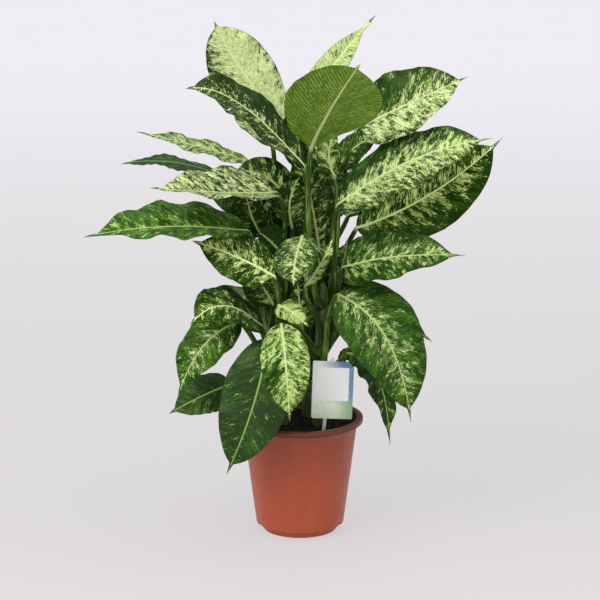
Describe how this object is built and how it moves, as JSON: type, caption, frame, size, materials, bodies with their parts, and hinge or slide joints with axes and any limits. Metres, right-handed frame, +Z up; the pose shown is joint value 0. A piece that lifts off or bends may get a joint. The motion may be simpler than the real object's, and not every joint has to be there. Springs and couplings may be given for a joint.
{
  "type": "potted dieffenbachia",
  "caption": "Leafy house plant with mottled oval leaves on upright canes, standing in soil in a round plastic nursery pot with a plant tag.",
  "frame": {"origin": "middle of the flat pad under the pot, on the surface that it stands on", "axes": "+Z up along the pot's axis, -Y towards the front of the plant, where its tag is, +X to the right as seen from the front"},
  "size_m": [0.6677, 0.4577, 0.8465],
  "materials": {
    "pot": "satin",
    "soil": "matte",
    "cane": "satin",
    "leaf": "satin",
    "tag_card": "satin",
    "tag_stake": "satin"
  },
  "bodies": {
    "root": {"pot": "pot", "soil": "soil", "cane_front": "cane", "cane_left": "cane", "cane_back": "cane", "cane_rear": "cane", "leaf_crown_left": "leaf", "leaf_crown_left_arched": "leaf", "leaf_crown_back": "leaf", "leaf_crown_front": "leaf", "leaf_crown_right": "leaf", "leaf_crown_right_inner": "leaf", "leaf_crown_young": "leaf", "leaf_right_high": "leaf", "leaf_right_high_under": "leaf", "leaf_right_middle": "leaf", "leaf_right_low": "leaf", "leaf_right_low_behind": "leaf", "leaf_right_hanging": "leaf", "leaf_right_spur": "leaf", "leaf_right_small": "leaf", "leaf_left_long": "leaf", "leaf_left_long_under": "leaf", "leaf_front_centre": "leaf", "leaf_front_centre_dark": "leaf", "leaf_left_high": "leaf", "leaf_left_high_narrow": "leaf", "leaf_left_high_far": "leaf", "leaf_left_inner": "leaf", "leaf_left_low_arched": "leaf", "leaf_left_low": "leaf", "leaf_left_lowest": "leaf", "leaf_front_low": "leaf", "leaf_front_low_mottled": "leaf", "leaf_front_small": "leaf", "leaf_front_upright": "leaf", "leaf_inner_upright": "leaf", "leaf_inner_left": "leaf", "leaf_inner_low": "leaf", "leaf_inner_right": "leaf", "leaf_inner_low_left": "leaf", "leaf_inner_low_right": "leaf", "leaf_inner_low_front": "leaf", "leaf_inner_middle": "leaf", "leaf_inner_top": "leaf", "leaf_inner_crown": "leaf", "leaf_inner_side": "leaf", "leaf_inner_centre": "leaf", "leaf_rear_high": "leaf", "leaf_rear_right": "leaf", "leaf_rear_left": "leaf", "leaf_rear_low_left": "leaf", "leaf_rear_low_right": "leaf", "leaf_rear_crown": "leaf", "leaf_rear_middle": "leaf", "leaf_rear_low_middle": "leaf", "tag_card": "tag_card", "tag_stake": "tag_stake"}
  },
  "joints": []
}
